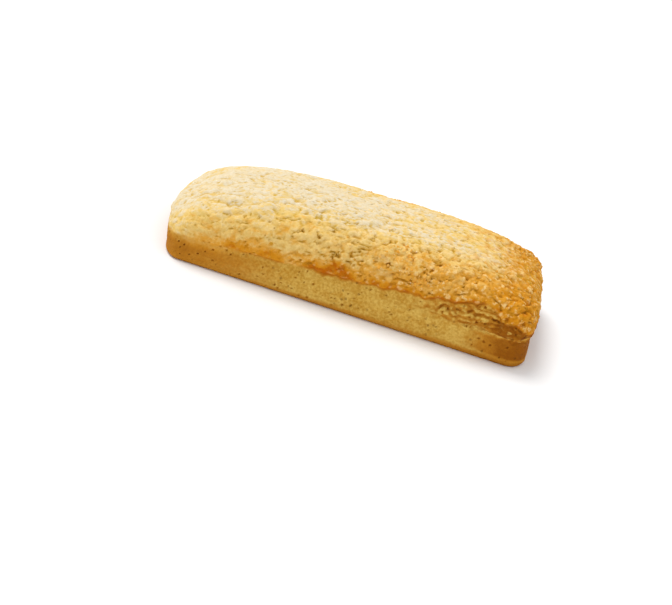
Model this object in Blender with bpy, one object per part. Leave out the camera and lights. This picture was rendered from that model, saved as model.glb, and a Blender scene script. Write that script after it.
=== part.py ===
"""Milk biscuit: one soft baked bar, a cracked crust domed over a low, nearly straight wall.

X runs along the bar, Y across it and Z up. The origin is on the table, under the middle
of the bar. The rounder end is at -X. The higher, squarer end, at +X, is where the crust
tore as it rose and sags over the wall as a hood.
"""

import math
from typing import NamedTuple

import bmesh
import bpy
import numpy as np
from mathutils import Vector, noise

MM = 0.001


class Pattern(NamedTuple):
    """Smooth noise: its wavelengths along X, Y and Z in mm, and the part of it that is used."""
    waves: tuple
    shift: float


# Plan of the bar at the crust rim. The ends bow out, so their corners lie further in.
LENGTH = 110.0 * MM
WIDTH = 43.0 * MM
CORNER_RADIUS = 5.0 * MM
BOW_LEFT = 3.4 * MM
BOW_RIGHT = 1.2 * MM
BOW_POWER = 6

# Heights over the table at mid length. Both gain height towards +X by the given slope.
RIM_HEIGHT = 10.6 * MM
RIM_SLOPE = 0.063
CROWN_HEIGHT = 22.7 * MM
CROWN_SLOPE = 0.015

# The dome's sections follow (1 - distance ** fullness) ** roundness. More fullness keeps
# the crown level further out, and less roundness makes its shoulder steeper.
FULLNESS_ACROSS = 4.1
FULLNESS_LEFT = 2.5
FULLNESS_RIGHT = 4.1
ROUNDNESS_ACROSS = 0.5
ROUNDNESS_ENDS = 0.6

# The foot of the wall, measured outward from the rim above it.
FOOT_OUT_SIDES = 0.9 * MM
FOOT_OUT_LEFT = -1.3 * MM
FOOT_OUT_RIGHT = 1.1 * MM
FOOT_REACH = 15.0 * MM

# Section of the wall: the rings that draw it, as fractions of the way down from rim to
# table, and how far it stands out of the straight line between them.
WALL_DROPS = (0.035, 0.09, 0.17, 0.26, 0.34, 0.40, 0.50, 0.64, 0.78, 0.88, 0.95, 1.0)
BELLY = 0.35 * MM
FOOT_RIM = 0.35 * MM
FOOT_DROPS = (0.80, 0.93)
EDGE_ROUNDING = 0.6 * MM
UNDERCUT = 0.5 * MM
UNDERCUT_DROPS = (0.06, 0.5)
UNDERCUT_ENDS = (-45.0 * MM, -25.0 * MM)

# The hood: torn crust that hangs over the wall near +X, down to a crease.
HOOD_ENDS = (14.0 * MM, 50.0 * MM)
HOOD_BULGE = 0.7 * MM
CREASE_HEIGHT = 8.6 * MM
CREASE_DEPTH = 0.8 * MM
CREASE_WIDTH = 1.3 * MM
CREASE_OPENNESS = 0.6
CREASE_WOBBLE = 1.2 * MM
CREASE_PATTERN = Pattern((11.0, 11.0, 11.0), 6.0)
OPEN_PATTERN = Pattern((11.0, 11.0, 11.0), 8.0)

# Relief of the crust: slow swells, round lumps, small crumbs, and short jagged cracks.
SWELL = Pattern((30.0, 17.0, 17.0), 3.0)
SWELL_RELIEF = 0.35 * MM
LUMPS = Pattern((6.5, 4.4, 4.4), 2.0)
LUMP_RELIEF = 0.40 * MM
LUMP_WARP = Pattern((8.0, 6.4, 6.4), 7.0)
LUMP_WARP_REACH = 1.2 * MM
CRUMBS = Pattern((3.9, 2.7, 2.7), 3.0)
CRUMB_RELIEF = 0.30 * MM
CRACKS = Pattern((12.0, 5.0, 5.0), 9.0)
CRACK_PATCHES = Pattern((16.0, 9.0, 9.0), 10.0)
CRACK_DEPTH = 0.9 * MM
CRACK_WIDTH = 0.24

# The crust is calmer towards -X, and in a band above its rim.
CALM_SHARE = 0.45
CALM_ENDS = (-45.0 * MM, -5.0 * MM)
RIM_SHARE = 0.35
RIM_BAND = 4.0 * MM

# Relief of the wall: slow waves, and the torn wrinkles of the hood.
WALL_WAVES = Pattern((14.0, 14.0, 7.0), 4.0)
WALL_RELIEF = 0.16 * MM
TEARS = Pattern((5.0, 5.0, 1.9), 5.0)
TEAR_RELIEF = 0.45 * MM
TEAR_ENDS = (14.0 * MM, 35.0 * MM)
TEAR_HEIGHTS = (6.6 * MM, 9.1 * MM)
TEAR_END_WALL = (50.0 * MM, 54.0 * MM)
TEAR_END_LOSS = 0.7
RIM_BLEND_DROP = 0.12
RELIEF_END_DROPS = (0.8, 0.95)

# Mesh counts of the dome. The wall has as many columns as the dome's rim has edges.
STEPS_ALONG = 86
STEPS_ACROSS = 32

CRUST_COLOUR = (0.72, 0.43, 0.14, 1.0)
CRUST_ROUGHNESS = 0.82


def smooth(low, high, value):
    """Rises from 0 at low to 1 at high, level at both ends."""
    part = min(max((value - low) / (high - low), 0.0), 1.0)
    return part * part * (3.0 - 2.0 * part)


def end_profile(along):
    """Share of the crown's rise at a station along the bar: 0 at both ends, 1 between."""
    fullness = FULLNESS_LEFT if along < 0 else FULLNESS_RIGHT
    return max(1.0 - abs(along) ** fullness, 0.0) ** ROUNDNESS_ENDS


def side_profile(across):
    """Share of the crown's rise at a station across the bar."""
    return max(1.0 - abs(across) ** FULLNESS_ACROSS, 0.0) ** ROUNDNESS_ACROSS


def even_stations(count, half_span, profile):
    """Stations from -1 to 1 that lie an equal distance apart along a domed section."""
    places = np.sin(np.linspace(-0.5, 0.5, 2001) * math.pi)
    rises = [(CROWN_HEIGHT - RIM_HEIGHT) * profile(place) for place in places]
    steps = np.hypot(np.diff(places * half_span), np.diff(rises))
    travelled = np.concatenate(([0.0], np.cumsum(steps)))
    return np.interp(np.linspace(0.0, travelled[-1], count + 1), travelled, places)


def plan_point(along, across):
    """Maps the square from -1 to 1 onto the plan, a long rectangle with round corners."""
    half_length = LENGTH / 2
    half_width = WIDTH / 2
    bow = BOW_LEFT if along < 0 else BOW_RIGHT
    x = abs(along) * half_length
    y = abs(across) * half_width
    past_x = max(x - (half_length - CORNER_RADIUS), 0.0)
    past_y = max(y - (half_width - CORNER_RADIUS), 0.0)
    x += past_x * (math.sqrt(1.0 - past_y ** 2 / (2 * CORNER_RADIUS ** 2)) - 1.0)
    y += past_y * (math.sqrt(1.0 - past_x ** 2 / (2 * CORNER_RADIUS ** 2)) - 1.0)
    x -= bow * across ** 2 * abs(along) ** BOW_POWER
    return math.copysign(x, along), math.copysign(y, across)


def rim_height(x):
    """Height of the crust rim over the table."""
    return RIM_HEIGHT + RIM_SLOPE * x


def dome_point(along, across):
    """A point of the smooth dome, before any relief."""
    x, y = plan_point(along, across)
    rise = CROWN_HEIGHT + CROWN_SLOPE * x - rim_height(x)
    return Vector((x, y, rim_height(x) + rise * end_profile(along) * side_profile(across)))


def foot_point(rim):
    """The foot of the wall, on the table, below a point of the rim."""
    near_end = min(max((abs(rim.x) - LENGTH / 2 + FOOT_REACH) / FOOT_REACH, 0.0), 1.0)
    out = FOOT_OUT_LEFT if rim.x < 0 else FOOT_OUT_RIGHT
    x = rim.x + math.copysign(1.0, rim.x) * out * near_end
    y = rim.y * (1.0 + FOOT_OUT_SIDES / (WIDTH / 2))
    return Vector((x, y, 0.0))


def wave(point, pattern):
    """The pattern's value at a point, from -1 to 1."""
    shifts = (pattern.shift, 2.3 * pattern.shift, 4.1 * pattern.shift)
    place = [co / (size * MM) + shift for co, size, shift in zip(point, pattern.waves, shifts)]
    return noise.noise(place)


def billow(point, pattern):
    """Round lumps with sharp creases between them, from -0.8 in a crease to about 1."""
    return 3.2 * abs(wave(point, pattern)) - 0.8


def crack(point):
    """Depth, from 0 to 1, of the short jagged cracks that run along the crust."""
    line = max(1.0 - abs(wave(point, CRACKS)) / CRACK_WIDTH, 0.0)
    return line * smooth(-0.05, 0.25, wave(point, CRACK_PATCHES))


def wall_offset(rim, drop):
    """How far the wall stands out of the straight line from rim to foot."""
    hood = smooth(*HOOD_ENDS, rim.x)
    belly = math.sin(math.pi * drop)
    offset = BELLY * belly + FOOT_RIM * smooth(*FOOT_DROPS, drop)
    offset -= EDGE_ROUNDING * smooth(FOOT_DROPS[1], 1.0, drop)

    under_rim = smooth(0.0, UNDERCUT_DROPS[0], drop) - smooth(*UNDERCUT_DROPS, drop)
    offset -= UNDERCUT * under_rim * smooth(*UNDERCUT_ENDS, rim.x) * (1.0 - hood)

    crease_height = CREASE_HEIGHT + CREASE_WOBBLE * wave(rim, CREASE_PATTERN)
    above = (rim.z * (1.0 - drop) - crease_height) / CREASE_WIDTH
    openness = CREASE_OPENNESS + wave(rim, OPEN_PATTERN)
    offset += hood * HOOD_BULGE * belly * smooth(-0.3, 1.0, above)
    offset -= hood * CREASE_DEPTH * openness * math.exp(-4.0 * above ** 2)
    return offset


def crust_relief(point):
    """How far the crust stands out of the smooth dome at a point."""
    warp = LUMP_WARP_REACH * wave(point, LUMP_WARP)
    place = point + Vector((0.0, warp, warp))
    crags = LUMP_RELIEF * billow(place, LUMPS) + CRUMB_RELIEF * billow(place, CRUMBS)
    crags -= CRACK_DEPTH * crack(place)
    over_rim = point.z - rim_height(point.x)
    strength = CALM_SHARE + (1.0 - CALM_SHARE) * smooth(*CALM_ENDS, point.x)
    strength *= RIM_SHARE + (1.0 - RIM_SHARE) * smooth(0.0, RIM_BAND, over_rim)
    return SWELL_RELIEF * wave(point, SWELL) + strength * crags


def torn_at(point):
    """How torn the wall is: most above the hood's crease on the long sides, less on the end."""
    torn = smooth(*TEAR_ENDS, point.x) * smooth(*TEAR_HEIGHTS, point.z)
    return torn * (1.0 - TEAR_END_LOSS * smooth(*TEAR_END_WALL, point.x))


def wall_relief(point):
    """How far the wall stands out at a point, with the hood's wrinkles."""
    torn = torn_at(point)
    return WALL_RELIEF * wave(point, WALL_WAVES) + torn * TEAR_RELIEF * billow(point, TEARS)


def make_dome(mesh):
    """A grid over the plan, raised into the dome."""
    along = even_stations(STEPS_ALONG, LENGTH / 2, end_profile)
    across = even_stations(STEPS_ACROSS, WIDTH / 2, side_profile)
    bmesh.ops.create_grid(mesh, x_segments=STEPS_ALONG, y_segments=STEPS_ACROSS, size=1.0)
    for vert in mesh.verts:
        column = round((vert.co.x + 1.0) / 2 * STEPS_ALONG)
        row = round((vert.co.y + 1.0) / 2 * STEPS_ACROSS)
        vert.co = dome_point(along[column], across[row])


def outward_at(vert):
    """The horizontal direction that leads straight out of the plan at a rim vertex."""
    ends = [edge.other_vert(vert).co for edge in vert.link_edges if edge.is_boundary]
    run = ends[1] - ends[0]
    out = Vector((run.y, -run.x, 0.0)).normalized()
    return out if out.dot(vert.co) > 0 else -out


def extrude_wall(mesh):
    """Draws the rim down to the table, ring by ring, and returns the drop of each vertex."""
    edges = [edge for edge in mesh.edges if edge.is_boundary]
    rim = {vert: (vert.co.copy(), outward_at(vert)) for edge in edges for vert in edge.verts}
    drops = {vert: 0.0 for vert in rim}
    for drop in WALL_DROPS:
        made = bmesh.ops.extrude_edge_only(mesh, edges=edges)["geom"]
        made_edges = [item for item in made if isinstance(item, bmesh.types.BMEdge)]
        edges = [edge for edge in made_edges if edge.is_boundary]
        # The new ring lies on the last one until it is moved, so places tell which is which.
        sources = {tuple(vert.co): facts for vert, facts in rim.items()}
        rim = {vert: sources[tuple(vert.co)] for edge in edges for vert in edge.verts}
        for vert, (top, outward) in rim.items():
            vert.co = top.lerp(foot_point(top), drop) + outward * wall_offset(top, drop)
            drops[vert] = drop
    bmesh.ops.holes_fill(mesh, edges=edges, sides=len(edges))
    return drops


def raise_relief(mesh, drops):
    """Moves each vertex along the smooth form's normal, and leaves the underside flat."""
    mesh.normal_update()
    moves = {}
    for vert in mesh.verts:
        drop = drops.get(vert, 0.0)
        on_wall = smooth(0.0, RIM_BLEND_DROP, drop)
        move = (1.0 - on_wall) * crust_relief(vert.co) + on_wall * wall_relief(vert.co)
        moves[vert] = vert.normal * move * (1.0 - smooth(*RELIEF_END_DROPS, drop))
    for vert, move in moves.items():
        vert.co += move


def centre_on_origin(mesh):
    """Puts the middle of the plan's box on the origin."""
    middle = Vector()
    for axis in (0, 1):
        places = [vert.co[axis] for vert in mesh.verts]
        middle[axis] = (min(places) + max(places)) / 2
    bmesh.ops.translate(mesh, verts=mesh.verts, vec=-middle)


def crust_material():
    """Golden, matt baked crust."""
    material = bpy.data.materials.new("baked_crust")
    material.use_nodes = True
    shader = material.node_tree.nodes["Principled BSDF"]
    shader.inputs["Base Color"].default_value = CRUST_COLOUR
    shader.inputs["Roughness"].default_value = CRUST_ROUGHNESS
    shader.inputs["Metallic"].default_value = 0.0
    material.diffuse_color = CRUST_COLOUR
    return material


def make_biscuit():
    """The whole bar as one closed body."""
    mesh = bmesh.new()
    make_dome(mesh)
    drops = extrude_wall(mesh)
    raise_relief(mesh, drops)
    centre_on_origin(mesh)
    bmesh.ops.triangulate(mesh, faces=[face for face in mesh.faces if len(face.verts) > 4])
    bmesh.ops.recalc_face_normals(mesh, faces=mesh.faces)
    data = bpy.data.meshes.new("biscuit")
    mesh.to_mesh(data)
    mesh.free()
    data.materials.append(crust_material())
    data.shade_smooth()
    data.set_sharp_from_angle(angle=math.radians(60.0))
    bpy.context.scene.collection.objects.link(bpy.data.objects.new("biscuit", data))


def main():
    for item in list(bpy.data.objects):
        bpy.data.objects.remove(item, do_unlink=True)
    make_biscuit()


main()
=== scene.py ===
"""The looks of the milk biscuit: its craggy crust, smooth wall, sugar and crumbs.

The form is the CAD solid's, from the same named values, drawn on a mesh that is fine
enough for the crust's flakes, pits and cracks. Lengths are in metres unless a name says mm.
"""

import math
import random
from typing import NamedTuple

import bmesh
import bpy
import numpy as np
from mathutils import Matrix, Vector, noise


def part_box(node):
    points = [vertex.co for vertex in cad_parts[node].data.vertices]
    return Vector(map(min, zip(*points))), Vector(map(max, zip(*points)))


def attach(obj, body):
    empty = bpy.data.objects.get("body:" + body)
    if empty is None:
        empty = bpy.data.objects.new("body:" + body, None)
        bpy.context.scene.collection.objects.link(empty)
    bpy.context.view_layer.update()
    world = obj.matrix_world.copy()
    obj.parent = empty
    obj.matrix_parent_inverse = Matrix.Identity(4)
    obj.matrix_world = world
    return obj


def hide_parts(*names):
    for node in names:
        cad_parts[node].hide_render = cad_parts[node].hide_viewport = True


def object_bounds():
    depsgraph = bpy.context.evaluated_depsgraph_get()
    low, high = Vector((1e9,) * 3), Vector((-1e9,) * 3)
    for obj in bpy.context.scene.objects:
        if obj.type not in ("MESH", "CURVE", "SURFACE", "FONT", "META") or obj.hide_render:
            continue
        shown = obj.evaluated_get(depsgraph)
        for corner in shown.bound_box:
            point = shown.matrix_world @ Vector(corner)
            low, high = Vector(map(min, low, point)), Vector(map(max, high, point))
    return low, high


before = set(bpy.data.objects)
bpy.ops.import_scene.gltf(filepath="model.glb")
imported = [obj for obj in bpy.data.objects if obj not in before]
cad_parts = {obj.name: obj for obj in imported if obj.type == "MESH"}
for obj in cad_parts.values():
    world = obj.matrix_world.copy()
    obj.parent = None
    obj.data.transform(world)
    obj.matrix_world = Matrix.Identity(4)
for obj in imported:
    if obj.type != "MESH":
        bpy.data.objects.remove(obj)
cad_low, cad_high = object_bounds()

MM = 0.001


def mm(*lengths):
    """Lengths in metres, from millimetres."""
    return tuple(length * MM for length in lengths)


NODE = "biscuit"
BODY = "root"


class Pattern(NamedTuple):
    """Smooth noise: its wavelengths along X, Y and Z in mm, and the part of it that is used."""
    waves: tuple
    shift: float


# -------- the CAD solid's own values

LENGTH = 110.0 * MM
WIDTH = 43.0 * MM
CORNER_RADIUS = 5.0 * MM
BOW_LEFT = 3.4 * MM
BOW_RIGHT = 1.2 * MM
BOW_POWER = 6

RIM_HEIGHT = 10.6 * MM
RIM_SLOPE = 0.063
CROWN_HEIGHT = 22.7 * MM
CROWN_SLOPE = 0.015
FULLNESS_ACROSS = 4.1
FULLNESS_LEFT = 2.5
FULLNESS_RIGHT = 4.1
ROUNDNESS_ACROSS = 0.5
ROUNDNESS_ENDS = 0.6

FOOT_OUT_SIDES = 0.9 * MM
FOOT_OUT_LEFT = -1.3 * MM
FOOT_OUT_RIGHT = 1.1 * MM
FOOT_REACH = 15.0 * MM
BELLY = 0.35 * MM
FOOT_RIM = 0.35 * MM
FOOT_DROPS = (0.80, 0.93)
EDGE_ROUNDING = 0.6 * MM
UNDERCUT = 0.5 * MM
UNDERCUT_DROPS = (0.06, 0.5)
UNDERCUT_ENDS = mm(-45.0, -25.0)

HOOD_ENDS = mm(14.0, 50.0)
HOOD_BULGE = 0.7 * MM
CREASE_HEIGHT = 8.6 * MM
CREASE_DEPTH = 0.8 * MM
CREASE_WIDTH = 1.3 * MM
CREASE_OPENNESS = 0.6
CREASE_WOBBLE = 1.2 * MM
CREASE_PATTERN = Pattern((11.0, 11.0, 11.0), 6.0)
OPEN_PATTERN = Pattern((11.0, 11.0, 11.0), 8.0)

SWELL = Pattern((30.0, 17.0, 17.0), 3.0)
SWELL_RELIEF = 0.35 * MM
LUMPS = Pattern((6.5, 4.4, 4.4), 2.0)
LUMP_RELIEF = 0.40 * MM
LUMP_WARP = Pattern((8.0, 6.4, 6.4), 7.0)
LUMP_WARP_REACH = 1.2 * MM
CRUMBS = Pattern((3.9, 2.7, 2.7), 3.0)
CRUMB_RELIEF = 0.30 * MM
CRACKS = Pattern((12.0, 5.0, 5.0), 9.0)
CRACK_PATCHES = Pattern((16.0, 9.0, 9.0), 10.0)
CRACK_DEPTH = 0.9 * MM
CRACK_WIDTH = 0.24
CALM_ENDS = mm(-45.0, -5.0)
RIM_SHARE = 0.35
RIM_BAND = 4.0 * MM

WALL_WAVES = Pattern((14.0, 14.0, 7.0), 4.0)
WALL_RELIEF = 0.16 * MM
TEARS = Pattern((5.0, 5.0, 1.9), 5.0)
TEAR_RELIEF = 0.45 * MM
TEAR_ENDS = mm(14.0, 35.0)
TEAR_HEIGHTS = mm(6.6, 9.1)
TEAR_END_WALL = mm(50.0, 54.0)
TEAR_END_LOSS = 0.7
RIM_BLEND_DROP = 0.12
RELIEF_END_DROPS = (0.8, 0.95)

# -------- what only the looks have

# The ends bow by the place on the plan here, and by the place in the square in the solid. A
# little more bow here keeps both outlines alike.
BOW_GAIN = 1.18

STEPS_ALONG = 330
STEPS_ACROSS = 152
WALL_RINGS = 40
OUTWARD_REACH_EDGES = 6
UNDERSIDE_STEPS_ALONG = 60
UNDERSIDE_STEPS_ACROSS = 24
UNDERSIDE_INSET = 2.0 * MM
BRIDGING_DEPTH = 10.0 * MM
BOX_MARGIN = 0.02 * MM

# The solid's crags are softened, as the fine relief below adds to them, but less and less so
# towards +X. On top of the crown and at the back they are softened once more.
CRAG_SHARE = 0.62
CRAG_SHARE_END = 1.0
CRAG_END = mm(34.0, 50.0)
CROWN_SHARE = 0.6
CROWN_SIDES = mm(12.0, 3.0)
BACK_SHARE = 0.5
BACK_SIDES = mm(2.0, 12.0)
BACK_LIVELY_ENDS = mm(25.0, 45.0)
LOOKS_RIM_SHARE = 0.9
LOOKS_RIM_ENDS = mm(-22.0, -10.0)
FINE_CALM_SHARE = 0.36
FINE_END_GAIN = 0.5
FINE_EDGE_SHARE = 0.5
FINE_EDGE_BAND = 1.0 * MM

# The crust's edge follows the rim, rises over it towards +X, where the hood is torn, and
# comes down again, first steeply and then round the +X end: how far, and between which X.
EDGE_RISES = (mm(2.6, 0.0, 45.0), mm(-3.4, 41.0, 47.0), mm(-2.0, 49.0, 54.0))
EDGE_WOBBLE = 1.0 * MM
EDGE_PATTERN = Pattern((5.0, 5.0, 5.0), 25.0)
EDGE_JAG = 0.7 * MM
EDGE_JAG_PATTERN = Pattern((1.7, 1.7, 1.7), 29.0)
EDGE_CALM_SHARE = 0.35
EDGE_BLEND = 0.55 * MM
EDGE_BLEND_ENDS = mm(-20.0, -10.0)

CRAG_RAGGED = Pattern((1.7, 1.7, 1.7), 30.0)
CRAG_RAGGED_REACH = 0.45 * MM

# Plates of crust with ragged outlines, each at its own level and tilt, and some with gaps.
PLATES = Pattern((3.4, 2.2, 2.2), 12.0)
PLATE_RAGGED = Pattern((2.4, 2.4, 2.4), 16.0)
PLATE_RAGGED_REACH = 0.7 * MM
PLATE_RELIEF = 0.20 * MM
PLATE_GAP_DEPTH = 0.28 * MM
PLATE_GAP_WIDTH = 0.20
PLATE_GAP_PATCHES = Pattern((4.0, 2.6, 2.6), 17.0)

# Granules: the small round grains that the crust is made of.
GRANULES = Pattern((1.3, 1.05, 1.05), 13.0)
GRANULE_RELIEF = 0.22 * MM

FINE_CRACKS = Pattern((4.5, 2.0, 2.0), 14.0)
FINE_CRACK_PATCHES = Pattern((3.4, 2.4, 2.4), 15.0)
FINE_CRACK_WIDTH = 0.12
FINE_CRACK_DEPTH = 0.60 * MM

RIDGE_HEIGHT = 0.6 * MM
RIDGE_RELIEF = 0.42 * MM
RIDGE_PATTERN = Pattern((6.0, 6.0, 6.0), 18.0)

# The lip: a thin fold below the hood's crease near +X, with the wall drawn in beneath it.
# Round the end it flattens out towards the back.
LIP_HEIGHT = 8.4 * MM
LIP_WIDTH = 0.62 * MM
LIP_RELIEF = 0.55 * MM
LIP_WOBBLE = 0.7 * MM
LIP_PATTERN = Pattern((9.0, 9.0, 9.0), 19.0)
LIP_ENDS = mm(36.0, 46.0)
LIP_BACK_LOSS = 0.85
LIP_BACK_SIDES = mm(-17.0, -2.0)
RECESS_HEIGHT = 6.2 * MM
RECESS_WIDTH = 1.7 * MM
RECESS_DEPTH = 0.45 * MM

# The dark hole above the lip, at the front corner of the +X end: its middle and half size.
END_HOLE = mm(53.0, 9.1)
END_HOLE_REACH = mm(1.3, 0.75)
END_HOLE_DEPTH = 1.1 * MM
END_HOLE_MOST_Y = -12.0 * MM

# Folds: thin raised edges of torn dough on the hood, over the solid's softened tears.
FOLDS = Pattern((3.6, 3.6, 2.2), 20.0)
FOLD_WARP = Pattern((1.8, 1.8, 1.5), 24.0)
FOLD_WARP_REACH = 0.8 * MM
FOLD_WIDTH = 0.16
FOLD_RELIEF = 0.28 * MM
TEAR_SHARE = 0.55

# The ledge: where the torn dough starts below the smooth band under the crust's edge.
LEDGE_LOW = 8.6 * MM
LEDGE_RISE = 3.8 * MM
LEDGE_RISE_ENDS = mm(21.0, 34.0)
LEDGE_ENDS = mm(14.0, 21.0)
LEDGE_FAR_ENDS = mm(44.0, 50.0)
LEDGE_WOBBLE = 1.1 * MM
LEDGE_PATTERN = Pattern((3.6, 3.6, 3.6), 26.0)
LEDGE_JAG = 0.8 * MM
LEDGE_JAG_PATTERN = Pattern((1.4, 1.4, 1.4), 27.0)
LEDGE_GAPS = Pattern((3.0, 3.0, 3.0), 28.0)
LEDGE_GROOVE = 0.30 * MM
LEDGE_GROOVE_WIDTH = 0.40 * MM
LEDGE_STEP = 0.24 * MM
WALL_GRAIN_RELIEF = 0.05 * MM
TORN_GRAIN_RELIEF = 0.18 * MM


class Pits(NamedTuple):
    """Small holes, at most one in each cell: cell size along X, Y and Z in mm, the share of
    cells with a hole, and the widest hole's radius as a share of the cell. On the wall, X is
    the run along it."""
    cell: tuple
    share: float
    radius: float


CRUST_PITS = Pits((3.2, 1.9, 1.9), 0.60, 0.33)
CRUST_PIT_DEPTH = 0.85 * MM
PIT_CALM_SHARE = 0.55
PIT_CALM_OPENNESS = 0.7
SMALL_PIT_GAIN = 0.6
SMALL_PIT_GAIN_ENDS = mm(0.0, 30.0)
PIT_RAGGED_REACH = 0.5 * MM
SMALL_PITS = Pits((2.1, 1.7, 1.7), 0.35, 0.27)
SMALL_PIT_DEPTH = 0.6 * MM
WALL_PITS = Pits((2.4, 1.0, 2.0), 0.50, 0.22)
WALL_RUN_PER_Y = 0.8
WALL_PIT_PATCHES = Pattern((9.0, 9.0, 6.0), 22.0)
WALL_PIT_DEPTH = 0.55 * MM
WALL_PIT_GAIN_ENDS = mm(-25.0, -40.0)

# A cell's middle times this picks the cell's own chance.
CHANCE_SPREAD = 41.0
PLATE_SPREAD = 37.0

# The unit of how far a vertex stands out of what lies around it.
RAISED_UNIT = 0.24 * MM
EVENING_ROUNDS = 12


def smooth(low, high, value):
    """Rises from 0 at low to 1 at high, level at both ends."""
    part = min(max((value - low) / (high - low), 0.0), 1.0)
    return part * part * (3.0 - 2.0 * part)


def between(start, end, share):
    """The value that lies a share of the way from start to end."""
    return start + (end - start) * share


# -------- the CAD solid's form


def end_profile(along):
    """Share of the crown's rise at a station along the bar: 0 at both ends, 1 between."""
    fullness = FULLNESS_LEFT if along < 0 else FULLNESS_RIGHT
    return max(1.0 - abs(along) ** fullness, 0.0) ** ROUNDNESS_ENDS


def side_profile(across):
    """Share of the crown's rise at a station across the bar."""
    return max(1.0 - abs(across) ** FULLNESS_ACROSS, 0.0) ** ROUNDNESS_ACROSS


def even_stations(count, half_span, profile):
    """Stations from -1 to 1 that lie an equal distance apart along a domed section."""
    places = np.sin(np.linspace(-0.5, 0.5, 2001) * math.pi)
    rises = [(CROWN_HEIGHT - RIM_HEIGHT) * profile(place) for place in places]
    steps = np.hypot(np.diff(places * half_span), np.diff(rises))
    travelled = np.concatenate(([0.0], np.cumsum(steps)))
    return np.interp(np.linspace(0.0, travelled[-1], count + 1), travelled, places)


def plan_point(along, across):
    """Maps the square from -1 to 1 onto the plan, a long rectangle with round corners. The
    ends bow by the place on the plan, so that the fine mesh doesn't fold at the corners."""
    half_length = LENGTH / 2
    half_width = WIDTH / 2
    bow = BOW_GAIN * (BOW_LEFT if along < 0 else BOW_RIGHT)
    x = abs(along) * half_length
    y = abs(across) * half_width
    past_x = max(x - (half_length - CORNER_RADIUS), 0.0)
    past_y = max(y - (half_width - CORNER_RADIUS), 0.0)
    x += past_x * (math.sqrt(1.0 - past_y ** 2 / (2 * CORNER_RADIUS ** 2)) - 1.0)
    y += past_y * (math.sqrt(1.0 - past_x ** 2 / (2 * CORNER_RADIUS ** 2)) - 1.0)
    x -= bow * (y / half_width) ** 2 * (x / half_length) ** BOW_POWER
    return math.copysign(x, along), math.copysign(y, across)


def rim_height(x):
    """Height of the crust rim over the table."""
    return RIM_HEIGHT + RIM_SLOPE * x


def dome_point(along, across):
    """A point of the smooth dome, before any relief."""
    x, y = plan_point(along, across)
    rise = CROWN_HEIGHT + CROWN_SLOPE * x - rim_height(x)
    return Vector((x, y, rim_height(x) + rise * end_profile(along) * side_profile(across)))


def foot_point(rim):
    """The foot of the wall, on the table, below a point of the rim."""
    near_end = min(max((abs(rim.x) - LENGTH / 2 + FOOT_REACH) / FOOT_REACH, 0.0), 1.0)
    out = FOOT_OUT_LEFT if rim.x < 0 else FOOT_OUT_RIGHT
    x = rim.x + math.copysign(1.0, rim.x) * out * near_end
    y = rim.y * (1.0 + FOOT_OUT_SIDES / (WIDTH / 2))
    return Vector((x, y, 0.0))


def shifted(point, pattern):
    """The point in the pattern's own units."""
    shifts = (pattern.shift, 2.3 * pattern.shift, 4.1 * pattern.shift)
    return Vector([co / (size * MM) + shift for co, size, shift in zip(point, pattern.waves, shifts)])


def wave(point, pattern):
    """The pattern's value at a point, from -1 to 1."""
    return noise.noise(shifted(point, pattern))


def billow(point, pattern):
    """Round lumps with sharp creases between them, from -0.8 in a crease to about 1."""
    return 3.2 * abs(wave(point, pattern)) - 0.8


def crack(point, lines, width, patches, patch_start):
    """Depth, from 0 to 1, of short jagged cracks that run along a pattern, within patches."""
    depth = max(1.0 - abs(wave(point, lines)) / width, 0.0)
    return depth * smooth(patch_start, 0.25, wave(point, patches))


def wall_offset(rim, drop):
    """How far the wall stands out of the straight line from rim to foot."""
    hood = smooth(*HOOD_ENDS, rim.x)
    belly = math.sin(math.pi * drop)
    offset = BELLY * belly + FOOT_RIM * smooth(*FOOT_DROPS, drop)
    offset -= EDGE_ROUNDING * smooth(FOOT_DROPS[1], 1.0, drop)

    under_rim = smooth(0.0, UNDERCUT_DROPS[0], drop) - smooth(*UNDERCUT_DROPS, drop)
    offset -= UNDERCUT * under_rim * smooth(*UNDERCUT_ENDS, rim.x) * (1.0 - hood)

    crease_height = CREASE_HEIGHT + CREASE_WOBBLE * wave(rim, CREASE_PATTERN)
    above = (rim.z * (1.0 - drop) - crease_height) / CREASE_WIDTH
    openness = CREASE_OPENNESS + wave(rim, OPEN_PATTERN)
    offset += hood * HOOD_BULGE * belly * smooth(-0.3, 1.0, above)
    offset -= hood * CREASE_DEPTH * openness * math.exp(-4.0 * above ** 2)
    return offset


# -------- fine relief of the looks

# Blender starts noise_vector from the clock unless it is given a number.
NOISE_START = 3
noise.seed_set(NOISE_START)


def on_table(point):
    """The place on the table straight below a point."""
    return Vector((point.x, point.y, 0.0))


def edge_height(point):
    """Height over the table of the line where the crust's look gives way to the wall's."""
    rise = sum(height * smooth(start, end, point.x) for height, start, end in EDGE_RISES)
    foot = on_table(point)
    wobble = EDGE_WOBBLE * wave(foot, EDGE_PATTERN) + EDGE_JAG * wave(foot, EDGE_JAG_PATTERN)
    ragged = between(EDGE_CALM_SHARE, 1.0, smooth(*EDGE_BLEND_ENDS, point.x))
    return rim_height(point.x) + rise + ragged * wobble


def wall_share(point, drop):
    """0 on the crust and 1 on the wall, by the rim towards -X and by the edge towards +X."""
    by_rim = smooth(0.0, RIM_BLEND_DROP, drop)
    by_edge = smooth(EDGE_BLEND, -EDGE_BLEND, point.z - edge_height(point))
    edged = smooth(*EDGE_BLEND_ENDS, point.x)
    return (1.0 - edged) * by_rim + edged * by_edge


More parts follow.
